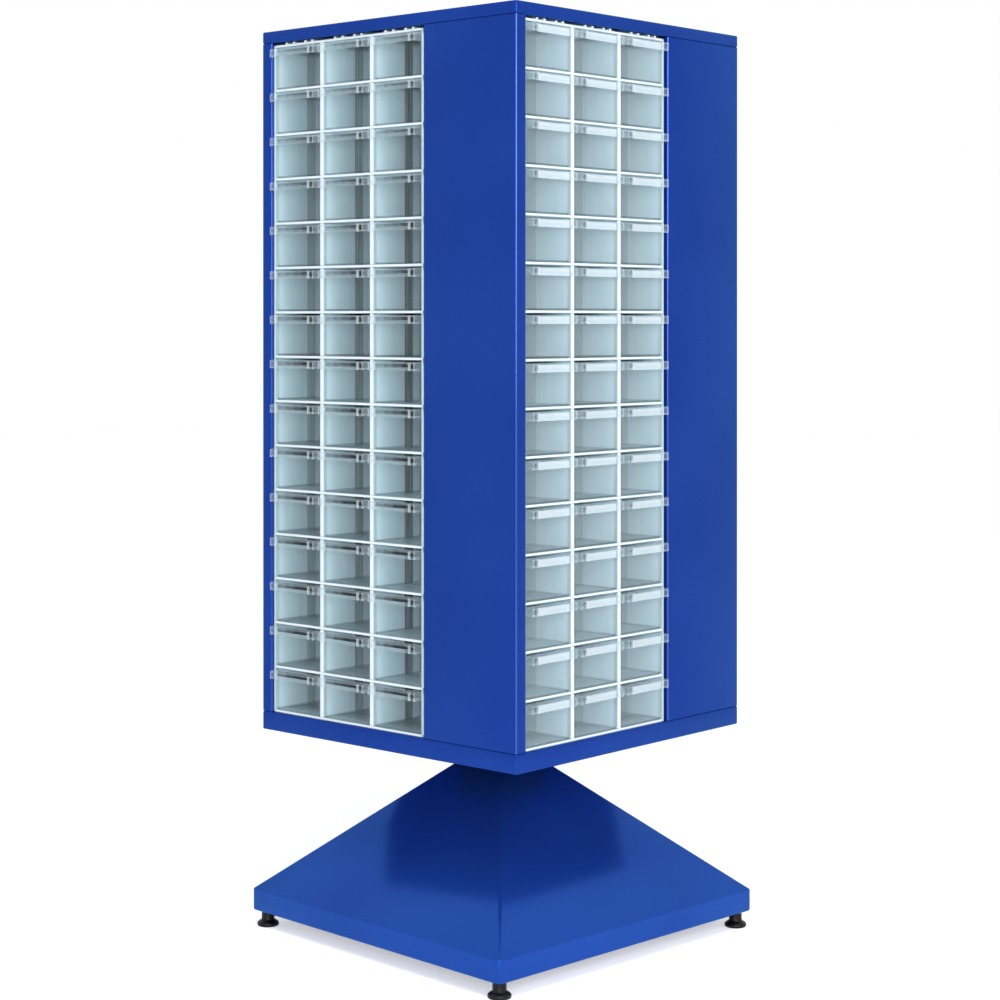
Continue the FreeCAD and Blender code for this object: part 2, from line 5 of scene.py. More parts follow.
import bpy
import numpy as np
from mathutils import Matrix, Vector


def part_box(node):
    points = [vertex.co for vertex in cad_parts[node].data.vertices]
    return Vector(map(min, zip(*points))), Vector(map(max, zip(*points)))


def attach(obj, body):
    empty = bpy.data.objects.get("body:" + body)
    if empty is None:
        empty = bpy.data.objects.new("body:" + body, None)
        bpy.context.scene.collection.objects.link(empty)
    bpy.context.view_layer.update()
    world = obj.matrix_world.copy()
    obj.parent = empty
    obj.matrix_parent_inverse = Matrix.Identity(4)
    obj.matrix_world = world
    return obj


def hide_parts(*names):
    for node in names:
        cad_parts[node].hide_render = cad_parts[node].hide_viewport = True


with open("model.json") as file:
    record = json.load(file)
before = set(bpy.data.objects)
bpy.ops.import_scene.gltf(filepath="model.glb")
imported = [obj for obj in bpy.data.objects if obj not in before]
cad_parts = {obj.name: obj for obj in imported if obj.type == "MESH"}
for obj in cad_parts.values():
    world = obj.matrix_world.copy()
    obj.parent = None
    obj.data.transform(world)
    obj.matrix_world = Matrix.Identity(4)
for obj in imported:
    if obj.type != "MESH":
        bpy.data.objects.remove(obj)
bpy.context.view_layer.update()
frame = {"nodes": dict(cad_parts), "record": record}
sideNames = ("front", "right", "back", "left")
millimetre = 0.001

cameraSetup = {
    "place": (2.691, -3.007, 1.1145),
    "heading": -0.0007,     # radians off the turning axis
    "pitch": -0.0023,       # radians, hardly down
    "lens": 78.87,
    "shift": -0.1743,
    "clearBounces": 24,     # light passes the walls of clear drawers on its way in and out
}


def makeCamera(setup):
    data = bpy.data.cameras.new("camera")
    camera = bpy.data.objects.new("camera", data)
    bpy.context.scene.collection.objects.link(camera)
    place = Vector(setup["place"])
    turn = math.atan2(-place.y, -place.x) - setup["heading"]
    level = math.cos(setup["pitch"])
    aim = Vector((math.cos(turn) * level, math.sin(turn) * level, math.sin(setup["pitch"])))
    camera.location = place
    camera.rotation_mode = "QUATERNION"
    camera.rotation_quaternion = aim.to_track_quat("-Z", "Y")
    data.lens = setup["lens"]
    data.shift_y = setup["shift"]
    bpy.context.scene.camera = camera


makeCamera(cameraSetup)
bpy.context.scene.view_settings.view_transform = "Standard"
bpy.context.scene.cycles.transparent_max_bounces = cameraSetup["clearBounces"]


# a shape is its points, n by 3, and its faces, a list of m by k arrays of point numbers

def volumeOf(points, faceSets):
    # sum over the fan triangles (a, b, c) of all faces of a . (b x c) / 6
    total = 0.0
    for faces in faceSets:
        for k in range(1, faces.shape[1] - 1):
            a, b, c = points[faces[:, 0]], points[faces[:, k]], points[faces[:, k + 1]]
            total += np.einsum("ij,ij->", a, np.cross(b, c)) / 6
    return total


def facingOut(points, faceSets):
    if volumeOf(points - points.mean(0), faceSets) < 0:
        faceSets = [faces[:, ::-1] for faces in faceSets]
    return points, faceSets


def joined(*shapes):
    points, faceSets, count = [], [], 0
    for shapePoints, shapeFaces in shapes:
        points.append(shapePoints)
        faceSets += [faces + count for faces in shapeFaces]
        count += len(shapePoints)
    return np.concatenate(points), faceSets


def copiedFaces(faceSets, copies, pointCount):
    # copy number n of a face has n * pointCount added to its point numbers
    steps = np.arange(copies) * pointCount
    return [(faces[None] + steps[:, None, None]).reshape(-1, faces.shape[1]) for faces in faceSets]


def repeated(shape, places):
    # copy number n of point p lies at p + places[n]
    points, faceSets = shape
    places = np.asarray(places, float)
    copies = (points[None] + places[:, None]).reshape(-1, 3)
    return copies, copiedFaces(faceSets, len(places), len(points))


def turned(shape, cosine, sine):
    # (x, y) goes to (x cos q - y sin q, x sin q + y cos q)
    points, faceSets = shape
    x, y, z = points.T
    return np.stack([cosine * x - sine * y, sine * x + cosine * y, z], 1), faceSets


def turnedAbout(shape, angle):
    return turned(shape, math.cos(angle), math.sin(angle))


def quarterTurned(shape, quarter):
    return turned(shape, *((1, 0), (0, 1), (-1, 0), (0, -1))[quarter])


def onAllSides(shape):
    return joined(*[quarterTurned(shape, quarter) for quarter in range(len(sideNames))])


def skin(rings, closed):
    # rings is r by n by 3, and quad (i, j) joins points (i, j), (i, j + 1), (i + 1, j + 1) and (i + 1, j);
    # j wraps, and i wraps too if closed, otherwise the first and last ring are filled by a flat face
    count, around = rings.shape[:2]
    i, j = np.meshgrid(np.arange(count if closed else count - 1), np.arange(around), indexing="ij")
    following, across = (i + 1) % count, (j + 1) % around
    quads = np.stack(
        [i * around + j, i * around + across, following * around + across, following * around + j], -1)
    faceSets = [quads.reshape(-1, 4)]
    if not closed:
        faceSets.append(np.arange(around)[None, ::-1])
        faceSets.append((np.arange(around) + (count - 1) * around)[None])
    return facingOut(rings.reshape(-1, 3), faceSets)


def easedBlocks(lows, highs, ease):
    # each corner of a box gives three points, moved inwards by the ease along two of the three axes
    lows, highs = np.atleast_2d(lows).astype(float), np.atleast_2d(highs).astype(float)
    signs = np.array([(a, b, c) for a in (-1, 1) for b in (-1, 1) for c in (-1, 1)])
    moved = 1 - np.eye(3)
    centre, half = (lows + highs) / 2, (highs - lows) / 2
    reach = half[:, None, None] - ease * moved[None, None]
    points = centre[:, None, None] + signs[None, :, None] * reach
    first = {tuple(sign): 3 * n for n, sign in enumerate(signs.tolist())}     # point number of a corner
    quads, triangles = [], []
    for k in range(3):
        u, v = (k + 1) % 3, (k + 2) % 3
        for a in (-1, 1):
            face = []
            for b, c in ((-1, -1), (1, -1), (1, 1), (-1, 1)):
                corner = [0, 0, 0]
                corner[k], corner[u], corner[v] = a, b, c
                face.append(first[tuple(corner)] + k)
            quads.append(face if a > 0 else face[::-1])
            for b in (-1, 1):
                # the flat along the edge where face k, on side a, meets face u, on side b
                ends = []
                for c in (-1, 1):
                    corner = [0, 0, 0]
                    corner[k], corner[u], corner[v] = a, b, c
                    ends.append(first[tuple(corner)])
                edge = [ends[0] + k, ends[0] + u, ends[1] + u, ends[1] + k]
                quads.append(edge if a * b > 0 else edge[::-1])
    for sign, point in first.items():
        corner = [point, point + 1, point + 2]
        triangles.append(corner if np.prod(sign) > 0 else corner[::-1])
    faceSets = copiedFaces([np.array(quads), np.array(triangles)], len(lows), 3 * len(signs))
    return points.reshape(-1, 3), faceSets


def bareBoxes(lows, highs):
    # boxes of eight points and six faces
    lows, highs = np.asarray(lows, float), np.asarray(highs, float)
    corners = np.array([(a, b, c) for a in (0, 1) for b in (0, 1) for c in (0, 1)])
    points = lows[:, None] + corners[None] * (highs - lows)[:, None]
    faces = np.array([(0, 1, 3, 2), (4, 6, 7, 5), (0, 4, 5, 1), (2, 3, 7, 6), (0, 2, 6, 4), (1, 5, 7, 3)])
    return points.reshape(-1, 3), copiedFaces([faces], len(lows), len(corners))


def roundedLine(corners, radius, steps=4):
    # each inner corner becomes an arc tangent to both its sides: with the unit sides u, in, and v, out, and
    # the turn t between them, it starts and ends radius * tan(t / 2) from the corner
    corners = np.asarray(corners, float)
    points = [corners[:1]]
    for n in range(1, len(corners) - 1):
        u = corners[n] - corners[n - 1]
        v = corners[n + 1] - corners[n]
        u, v = u / np.linalg.norm(u), v / np.linalg.norm(v)
        turn = math.acos(np.clip(u @ v, -1, 1))
        side = math.copysign(1, u[0] * v[1] - u[1] * v[0])
        start = corners[n] - u * radius * math.tan(turn / 2)
        normal = side * np.array([-u[1], u[0]])
        a = np.linspace(0, turn, steps + 1)[:, None]
        points.append(start + radius * (np.sin(a) * u + (1 - np.cos(a)) * normal))
    points.append(corners[-1:])
    return np.concatenate(points)


def shiftedLine(corners, distance):
    # every side moves to its left by the distance, and corners are where neighbouring sides then meet
    corners = np.asarray(corners, float)
    sides = np.diff(corners, axis=0)
    sides /= np.linalg.norm(sides, axis=1)[:, None]
    normals = np.stack([-sides[:, 1], sides[:, 0]], 1)
    moved = [corners[0] + normals[0] * distance]
    for before, after, corner in zip(normals[:-1], normals[1:], corners[1:-1]):
        moved.append(corner + (before + after) * distance / (1 + before @ after))
    moved.append(corners[-1] + normals[-1] * distance)
    return np.array(moved)


smallestBend = 0.2 * millimetre     # inside radius of the sharpest bend


def foldedSheet(corners, thickness, radius, steps=4):
    # the outer line with bends of the radius, and back along a line one thickness to its left
    inner = shiftedLine(corners, thickness)
    outside = roundedLine(corners, radius, steps)
    inside = roundedLine(inner, max(radius - abs(thickness), smallestBend), steps)
    return np.concatenate([outside, inside[::-1]])


def squareRing(half, radius, level, steps=5):
    # quarter circles of the radius round the points (+-(half - radius), +-(half - radius))
    a = np.linspace(0, math.pi / 2, steps + 1)
    quarter = np.arange(4)[:, None] * math.pi / 2
    direction = np.stack([np.cos(a + quarter), np.sin(a + quarter)], -1)
    centre = (half - radius) * math.sqrt(2) * np.stack(
        [np.cos(quarter + math.pi / 4), np.sin(quarter + math.pi / 4)], -1)
    flat = (centre + radius * direction).reshape(-1, 2)
    return np.column_stack([flat, np.full(len(flat), level)])


def drawnAlong(outline, axis, ends):
    # a closed outline in the other two axes, drawn straight from one end to the other
    rings = [np.insert(outline, axis, end, axis=1) for end in ends]
    return skin(np.array(rings), closed=False)


def turnedShape(profile, centre, sides):
    # point (r, z) of the profile goes round the centre: (x + r cos a, y + r sin a, z)
    a = np.arange(sides) * 2 * math.pi / sides
    r, z = np.asarray(profile, float).T
    rings = np.stack([
        centre[0] + r[:, None] * np.cos(a), centre[1] + r[:, None] * np.sin(a),
        np.broadcast_to(z[:, None], (len(z), sides))], -1)
    return skin(rings, closed=False)


sharpAngle = math.radians(32)     # edges that turn further than this aren't smoothed


def addPiece(name, shape, finish, body, nodes, marks=None):
    # marks holds numbers for the finish to read: name -> (POINT or FACE, one number for each)
    points, faceSets = shape
    mesh = bpy.data.meshes.new(name)
    mesh.from_pydata(points.tolist(), [], [face for faces in faceSets for face in faces.tolist()])
    for mark, (domain, numbers) in (marks or {}).items():
        layer = mesh.attributes.new(mark, "FLOAT", domain)
        layer.data.foreach_set("value", np.asarray(numbers, np.float32))
    mesh.polygons.foreach_set("use_smooth", np.ones(len(mesh.polygons), bool))
    mesh.set_sharp_from_angle(angle=sharpAngle)
    mesh.materials.append(finish)
    piece = bpy.data.objects.new(name, mesh)
    bpy.context.scene.collection.objects.link(piece)
    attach(piece, body)
    if nodes:
        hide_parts(*nodes)


# the grid of drawer cells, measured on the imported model
slidingCells = {}
for name in sorted(name for name in frame["nodes"] if name.startswith("drawer_") and "_row" in name):
    _, side, row, column = name.split("_")
    slidingCells[name] = (side, int(row[3:]), int(column[6:]))

drawerLow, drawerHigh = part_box("drawer_front_row02_column2")
nextLow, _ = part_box("drawer_front_row04_column3")
shelfLow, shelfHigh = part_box("drawer_shelves")
blockLow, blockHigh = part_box("block_sides")
grid = {
    "columns": 3,
    "rows": 15,
    "columnPitch": nextLow.x - drawerLow.x,
    "rowPitch": (drawerLow.z - nextLow.z) / 2,
    "middle": (drawerLow.x + drawerHigh.x) / 2,
    "front": -0.305,         # of the front side's block
    "depth": 0.188,
    "sideWall": 0.005,
    "divider": 0.0088,
    "ease": 0.0009,
    "frontStep": 0.0006,     # column walls behind the front of the shelves
}
grid["shelf"] = shelfHigh.z - shelfLow.z - grid["rows"] * grid["rowPitch"]
grid["left"] = grid["middle"] - grid["columns"] / 2 * grid["columnPitch"]
grid["right"] = grid["middle"] + grid["columns"] / 2 * grid["columnPitch"]


def linear(red, green, blue):
    # a screen colour from 0 to 255 as linear light, by the usual screen curve
    share = np.array([red, green, blue]) / 255
    light = np.where(share <= 0.04045, share / 12.92, ((share + 0.055) / 1.055) ** 2.4)
    return (*light.tolist(), 1.0)


class Wire:
    # a node's output on which Python's operators add Math nodes
    def __init__(self, nodes, socket):
        self.nodes = nodes
        self.socket = socket

    def __add__(self, other):
        return self.nodes.maths("ADD", self, other)

    __radd__ = __add__

    def __sub__(self, other):
        return self.nodes.maths("SUBTRACT", self, other)

    def __rsub__(self, other):
        return self.nodes.maths("SUBTRACT", other, self)

    def __mul__(self, other):
        return self.nodes.maths("MULTIPLY", self, other)

    __rmul__ = __mul__

    def between(self, low, high):
        # 0 up to low and 1 from high on, with a smooth step
        settings = {"interpolation_type": "SMOOTHSTEP"}
        return self.nodes.add("ShaderNodeMapRange", settings, {0: self, 1: low, 2: high})[0]


class Nodes:
    # the nodes of a material or of the world, and the shader that they feed
    def __init__(self, tree, shader):
        self.tree = tree
        self.shader = tree.nodes[shader]

    def add(self, kind, settings=None, sockets=None):
        # a node of a kind: its settings first, then the values or wires of its inputs; gives its outputs
        node = self.tree.nodes.new(kind)
        for key, value in (settings or {}).items():
            setattr(node, key, value)
        for key, value in (sockets or {}).items():
            self.join(value, node.inputs[key])
        return [Wire(self, socket) for socket in node.outputs]

    def maths(self, operation, *values):
        return self.add("ShaderNodeMath", {"operation": operation}, dict(enumerate(values)))[0]

    def join(self, value, socket):
        if isinstance(value, Wire):
            self.tree.links.new(value.socket, socket)
        else:
            socket.default_value = value

    def feed(self, values):
        # values or wires for the shader's inputs, by their names
        for key, value in values.items():
            self.join(value, self.shader.inputs[key])


class Finish(Nodes):
    # one material with a Principled shader, whose fixed values are given by name
    def __init__(self, name, fixed):
        self.material = bpy.data.materials.new(name)
        self.material.use_nodes = True
        super().__init__(self.material.node_tree, "Principled BSDF")
        self.feed(fixed)
        self.place = self.add("ShaderNodeTexCoord")[3]     # Object coordinates

    def noise(self, scale, detail=2.0):
        # cloudy noise from 0 to 1, with scale in features to the metre, one number or one for each axis
        stretch = np.broadcast_to(scale, 3).tolist()
        spread = self.add("ShaderNodeVectorMath", {"operation": "MULTIPLY"}, {0: self.place, 1: stretch})[0]
        return self.add("ShaderNodeTexNoise", {}, {"Vector": spread, "Scale": 1.0, "Detail": detail})[0]

    def mark(self, name):
        # a number that the mesh holds for each point or face
        return self.add("ShaderNodeAttribute", {"attribute_name": name})[2]

    def mixed(self, share, first, second):
        # from the first colour to the second; a Mix node has its colours at inputs 6 and 7 and output 2
        return self.add("ShaderNodeMix", {"data_type": "RGBA"}, {0: share, 6: first, 7: second})[2]

    def bumped(self, height, distance, strength):
        sockets = {"Height": height, "Distance": distance, "Strength": strength}
        return self.add("ShaderNodeBump", {}, sockets)[0]


# colours are screen colours from 0 to 255, fixed values go by the shader's own names, roughness grows by
# up to the smudge, and clouds, smudges, streaks, lines and grain have their features to the metre, as one
# number or one for each axis
paint = {
    "tower": ((26, 60, 146), (22, 54, 139)),     # lighter and deeper blue
    # the base's lighter copy of the tower's blue: painted light for its upward slopes
    "base": ((32, 72, 160), (28, 66, 152)),
    "clouds": 3.0, "cloudRange": (0.3, 0.7),
    "fixed": {
        "IOR": 1.5, "Metallic": 0.55, "Specular IOR Level": 0.12, "Specular Tint": (0.5, 0.9, 1.0, 1.0)},
    "roughness": 0.14, "smudge": 0.05, "smudges": 9.0,
    "peel": 420, "peelDepth": 0.00006, "peelStrength": 0.35,
    # painted highlight: a pale lilac line mixed in along the outer bends
    "fold": (124, 140, 214), "foldShare": 0.2,
}


def bluePaint(name, blue, deep):
    # faint clouds of a deeper blue, painted highlights along the folds and a fine orange peel
    finish = Finish(name, paint["fixed"])
    clouds = finish.noise(paint["clouds"]).between(*paint["cloudRange"])
    peel = finish.noise(paint["peel"], detail=1.0)
    flat = finish.mixed(clouds, linear(*deep), linear(*blue))
    # a painted highlight along the bends, from the mark on their faces
    colour = finish.mixed(finish.mark("fold") * paint["foldShare"], flat, linear(*paint["fold"]))
    roughness = paint["roughness"] + paint["smudge"] * finish.noise(paint["smudges"])
    normal = finish.bumped(peel, paint["peelDepth"], paint["peelStrength"])
    finish.feed({"Base Color": colour, "Roughness": roughness, "Normal": normal})
    return finish.material


clear = {
    "wall": (186, 214, 226), "wallAlpha": 0.030,
    "lip": (226, 236, 242), "lipAlpha": 0.26,
    # painted shade: the dark colour of the tub's edges
    "shadedRim": (92, 112, 120), "shadedRimAlpha": 0.30,
    # painted shade: the dark colour of a plate behind the lip's slot and windows
    "recessShade": (22, 32, 35), "recessShadeAlpha": 0.74,
    "streaks": (170, 170, 6), "streakRange": (0.35, 0.7), "streakAlpha": 0.015,
    "fixed": {"IOR": 1.5, "Specular IOR Level": 0.3},
    "roughness": 0.06, "smudge": 0.10, "smudges": 14.0,
    "ripple": (60, 60, 25), "rippleDepth": 0.0004, "rippleStrength": 0.3,
}


def clearPlastic():
    # thin walls are nearly clear and the thicker lip is milky; the tub's edges and the recess of the lip are
    # dark with painted shade
    finish = Finish("clearPlastic", clear["fixed"])
    lip, shadedRim, recessShade = finish.mark("lip"), finish.mark("shadedRim"), finish.mark("recessShade")
    streaks = finish.noise(clear["streaks"]).between(*clear["streakRange"])
    body = finish.mixed(lip, linear(*clear["wall"]), linear(*clear["lip"]))
    edged = finish.mixed(shadedRim, body, linear(*clear["shadedRim"]))
    colour = finish.mixed(recessShade, edged, linear(*clear["recessShade"]))
    thin = clear["wallAlpha"]
    extra = lip * (clear["lipAlpha"] - thin) + shadedRim * (clear["shadedRimAlpha"] - thin)
    extra = extra + recessShade * (clear["recessShadeAlpha"] - thin) + streaks * clear["streakAlpha"]
    roughness = clear["roughness"] + clear["smudge"] * finish.noise(clear["smudges"])
    ripple = finish.noise(clear["ripple"], detail=1.0)
    normal = finish.bumped(ripple, clear["rippleDepth"], clear["rippleStrength"])
    finish.feed({"Base Color": colour, "Alpha": extra + thin, "Roughness": roughness, "Normal": normal})
    return finish.material


housing = {
    # the last of these colours, near black, is the painted shade of the windows
    "edge": (214, 224, 230), "wall": (212, 238, 247), "window": (5, 8, 8),
    "near": (160, 182, 188), "nearShadeDepth": 0.014,     # painted shade on the walls just behind the front edges
    "windows": ((0.079, 0.100), (0.117, 0.142)),     # depths between which the walls take dark painted shade
    "windowShare": 1.0, "windowStreaks": 0.35, "windowStreakRange": (0.4, 0.7),
    "edgeDepth": 0.0006, "blur": 0.0010,
    "shade": (76, 94, 96), "shadeFrom": 0.012, "shadeDepths": (0.01, 0.08),     # under each shelf
    # the streaks are partly painted shade deep in the walls, and also break up the windows and vary the
    # roughness
    "streaks": (220, 220, 5), "streakRange": (0.5, 0.7), "streakDepths": (0.05, 0.08), "streakShare": 0.16,
    "fixed": {"IOR": 1.48},
    "roughness": 0.30, "smudge": 0.12,
    "grain": 900.0, "grainDepth": 0.00005, "grainStrength": 0.3,
}


def housingPlastic():
    # white front edges, paler blue walls behind them, and painted shade: behind the edges, under each shelf,
    # in deep streaks and in dark upright windows deep in the walls
    finish = Finish("housingPlastic", housing["fixed"])
    depth = finish.mark("depth")
    streaks = finish.noise(housing["streaks"])
    blur = housing["blur"]
    behind = depth.between(housing["edgeDepth"], housing["edgeDepth"] + blur)
    opened = 0.0
    for start, end in housing["windows"]:
        opened = opened + depth.between(start, start + blur) * (1 - depth.between(end, end + blur))
    height = finish.add("ShaderNodeSeparateXYZ", {}, {0: finish.place})[2]
    above = finish.maths("FLOORED_MODULO", height - shelfHigh.z, grid["rowPitch"])     # the shelf below
    ceiling = grid["rowPitch"] - grid["shelf"]
    shade = above.between(ceiling - housing["shadeFrom"], ceiling) * depth.between(*housing["shadeDepths"])
    # painted shade just behind the front edges
    near = depth.between(0, housing["nearShadeDepth"])
    bright = finish.mixed(near, linear(*housing["near"]), linear(*housing["wall"]))
    # painted shade in streaks deep in the walls
    deepStreaks = streaks.between(*housing["streakRange"]) * depth.between(*housing["streakDepths"])
    plain = finish.mixed(shade + deepStreaks * housing["streakShare"], bright, linear(*housing["shade"]))
    windowStreaks = housing["windowStreaks"] * streaks.between(*housing["windowStreakRange"])
    # painted shade in the windows, broken by the streaks
    share = finish.mark("window") * (housing["windowShare"] - windowStreaks)
    wall = finish.mixed(opened * share, plain, linear(*housing["window"]))
    colour = finish.mixed(behind, linear(*housing["edge"]), wall)
    roughness = housing["roughness"] + housing["smudge"] * streaks
    grain = finish.noise(housing["grain"], detail=1.0)
    normal = finish.bumped(grain, housing["grainDepth"], housing["grainStrength"])
    finish.feed({"Base Color": colour, "Roughness": roughness, "Normal": normal})
    return finish.material


metals = {
    "platedSteel": {
        "light": (198, 200, 202), "dark": (168, 171, 176), "roughness": 0.28, "lines": (900, 900, 60)},
    "bearingSteel": {
        "light": (214, 214, 216), "dark": (186, 187, 190), "roughness": 0.16, "lines": 1200},
    "cageBrass": {
        "light": (214, 182, 110), "dark": (186, 152, 84), "roughness": 0.3, "lines": 400},
}
metalGrain = {"fixed": {"Metallic": 1.0}, "smudge": 0.15, "depth": 0.00005, "strength": 0.5}


def bareMetal(name):
    # drawn or ground metal: fine lines, long on the axis with few of them to the metre
    look = metals[name]
    finish = Finish(name, metalGrain["fixed"])
    lines = finish.noise(look["lines"], detail=3.0)
    colour = finish.mixed(lines, linear(*look["light"]), linear(*look["dark"]))
    roughness = look["roughness"] + metalGrain["smudge"] * lines
    normal = finish.bumped(lines, metalGrain["depth"], metalGrain["strength"])
    finish.feed({"Base Color": colour, "Roughness": roughness, "Normal": normal})
    return finish.material


grained = {
    "blackPaint": {
        "light": (14, 14, 18), "dark": (24, 24, 28), "clouds": 12.0, "gloss": 0.5,
        "roughness": 0.4, "smudge": 0.2, "grain": 600.0, "strength": 0.4},
    "guideNylon": {
        "light": (232, 228, 214), "dark": (220, 215, 198), "clouds": 30.0, "gloss": 0.5,
        "roughness": 0.45, "smudge": 0.15, "grain": 500.0, "strength": 0.35},
    "footPlastic": {
        "light": (12, 12, 13), "dark": (6, 6, 7), "clouds": 30.0, "gloss": 0.22,
        "roughness": 0.32, "smudge": 0.15, "grain": 500.0, "strength": 0.35},
}
grainRefraction = 1.5
grainDepth = 0.0001


def grainedFinish(name):
    # powder paint or moulded plastic: two close colours and a fine grain
    look = grained[name]
    finish = Finish(name, {"IOR": grainRefraction, "Specular IOR Level": look["gloss"]})
    grain = finish.noise(look["grain"])
    colour = finish.mixed(finish.noise(look["clouds"]), linear(*look["light"]), linear(*look["dark"]))
    roughness = look["roughness"] + look["smudge"] * grain
    normal = finish.bumped(grain, grainDepth, look["strength"])
    finish.feed({"Base Color": colour, "Roughness": roughness, "Normal": normal})
    return finish.material


finishes = {
    "blue_paint": bluePaint("bluePaint", *paint["tower"]),
    "black_paint": grainedFinish("blackPaint"),
    "clear_plastic": clearPlastic(),
    "housing_plastic": housingPlastic(),
    "plated_steel": bareMetal("platedSteel"),
    "bearing_steel": bareMetal("bearingSteel"),
    "cage_brass": bareMetal("cageBrass"),
    "guide_nylon": grainedFinish("guideNylon"),
    "foot_plastic": grainedFinish("footPlastic"),
}
# the same blue paint made lighter for the base: painted light on its upward slopes
litBasePaint = bluePaint("litBasePaint", *paint["base"])
for subpart in frame["record"]["subparts"]:
    mesh = frame["nodes"][subpart["node"]].data
    mesh.materials.clear()
    mesh.materials.append(finishes[subpart["material_slot"]])
print("finishes made")


coverLow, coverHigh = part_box("base_cover")
base = {
    "turn": math.radians(-3.63),
    "half": 0.325,
    "corner": 0.006,      # radius of the skirt's upright corners
    "hip": 0.004,         # and of the edges between the slopes
    "skirt": 0.040,
    "topHalf": 0.060,     # flat square at the top
    "holeHalf": 0.0455,   # and its hole
    "flange": 0.034,      # fold inwards under the skirt
    "sheet": 0.002,
    "bend": 0.004,
}


def baseCover():
    # the folded profile, as distance from the outer face and level, carried round a square with
    # round corners
    bottom, top = coverLow.z, coverHigh.z
    half = base["half"]
    corners = [
        (base["flange"], bottom), (0, bottom), (0, bottom + base["skirt"]),
        (half - base["topHalf"], top), (half - base["holeHalf"], top)]
    profile = foldedSheet(corners, -base["sheet"], base["bend"])
    rings = [
        squareRing(half - inset, base["corner"] if inset < base["bend"] else base["hip"], level)
        for inset, level in profile]
    return turnedAbout(skin(np.array(rings), closed=True), base["turn"])


addPiece("baseCover", baseCover(), litBasePaint, "base", ["base_cover"])

foot = {
    "radius": 0.020, "neck": 0.0118, "sole": 0.005, "height": 0.013, "top": 0.030,
    "edge": 0.0025,      # round lower edge of the sole
    "ease": 0.001,       # slanted upper edge of the neck
    "inset": 0.0206,     # middle of a foot from both faces of the skirt
    "steps": 6, "sides": 32,
}


def footPads():
    # a sole with a round edge, a shoulder that is half a cosine wave, and a neck
    s = np.linspace(0, 1, foot["steps"])
    radius, neck, sole, ease = foot["radius"], foot["neck"], foot["sole"], foot["ease"]
    quarter = s * math.pi / 2
    edge = np.column_stack([
        radius - foot["edge"] * (1 - np.sin(quarter)), foot["edge"] * (1 - np.cos(quarter))])
    shoulder = np.column_stack([
        neck + (radius - neck) * (1 + np.cos(s * math.pi)) / 2, sole + (foot["height"] - sole) * s])
    top = np.array([(neck, foot["top"] - ease), (neck - ease, foot["top"])])
    profile = np.concatenate([edge, shoulder, top])
    reach = base["half"] - foot["inset"]
    pads = onAllSides(turnedShape(profile, (reach, reach), foot["sides"]))
    return turnedAbout(pads, base["turn"])


addPiece("footPads", footPads(), finishes["foot_plastic"], "base", ["foot_pads"])
print("base made")


trayLow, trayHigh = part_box("bottom_tray")
capLow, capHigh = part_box("top_cap")
panelLow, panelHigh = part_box("corner_panel_front")
tower = {
    "half": 0.310, "sheet": 0.0015, "bend": 0.003, "flange": 0.030,
    "seam": 0.0005,         # gap above and below a corner panel
    "capMiddle": 0.05,      # half of the flat square in the cap's middle
    "trayHole": 0.0305,     # half of the tray's square hole
}


def pan(mouth, floor, middle):
    # the folded profile from the middle of the floor over the band to the flange, carried round the square
    inner = tower["half"] - middle
    corners = [(inner, floor), (0, floor), (0, mouth), (tower["flange"], mouth)]
    side = tower["sheet"] if floor > mouth else -tower["sheet"]
    profile = foldedSheet(corners, side, tower["bend"])
    rings = [
        squareRing(tower["half"] - inset, max(tower["bend"] - inset, tower["sheet"] / 2), level)
        for inset, level in profile]
    return np.array(rings)


topCap = skin(pan(capLow.z, capHigh.z, tower["capMiddle"]), closed=False)
addPiece("topCap", topCap, finishes["blue_paint"], "carousel", ["top_cap"])
bottomTray = skin(pan(trayHigh.z, trayLow.z, tower["trayHole"]), closed=True)
addPiece("bottomTray", bottomTray, finishes["blue_paint"], "carousel", ["bottom_tray"])

panel = {
    "return": 0.020,          # fold inwards beside the drawer block
    "strip": 0.025,           # narrow leg round the corner
    "stripReturn": 0.012,     # and the fold inwards at its end
    "lap": 0.0075,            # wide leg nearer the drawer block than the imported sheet
    "stripHighlight": 0.4,         # how strong the painted highlight on the strip's own fold is beside the others
}
panelStart = panelLow.x - panel["lap"]


def cornerPanel():
    # the folded plan of the front side's panel, drawn straight up, with flanges inside the wide leg's ends
    half, wall = tower["half"], tower["sheet"]
    back = panel["return"] - half
    corners = [
        (panelStart, back), (panelStart, -half), (half, -half),
        (half, panel["strip"] - half), (half - panel["stripReturn"], panel["strip"] - half)]
    plan = foldedSheet(corners, wall, tower["bend"])
    bottom, top = panelLow.z + tower["seam"], panelHigh.z - tower["seam"]
    flanges = [
        easedBlocks((panelStart + wall, wall - half, z), (half - wall, back, z + wall), wall / 4)
        for z in (bottom, top - wall)]
    return joined(drawnAlong(plan, 2, (bottom, top)), *flanges)


def foldMarks(shape):
    # painted highlight: 1 on the upright faces of the outer bends, whose middles lie off both flats, and less
    # on the strip's own bend
    half, edge, bend = tower["half"], tower["sheet"] / 8, tower["bend"]
    middleX, middleY = half - bend, panel["strip"] - half - bend     # of the strip's own bend
    marks = []
    for faces in shape[1]:
        x, y, _ = shape[0][faces].mean(1).T
        nearEnds = (x < panelStart + bend) | (x > half - bend)
        offFront, offSide = y > edge - half, (x < half - edge) & (x > panelStart + edge)
        outerBends = nearEnds & offFront & offSide & (y < bend - half)
        stripBend = (x > middleX) & (x < half - edge) & (y > middleY)
        outside = np.hypot(x - middleX, y - middleY) > bend - tower["sheet"] / 2
        marks.append(np.where(outerBends, 1.0, panel["stripHighlight"] * (stripBend & outside)))
    return {"fold": ("FACE", np.concatenate(marks))}


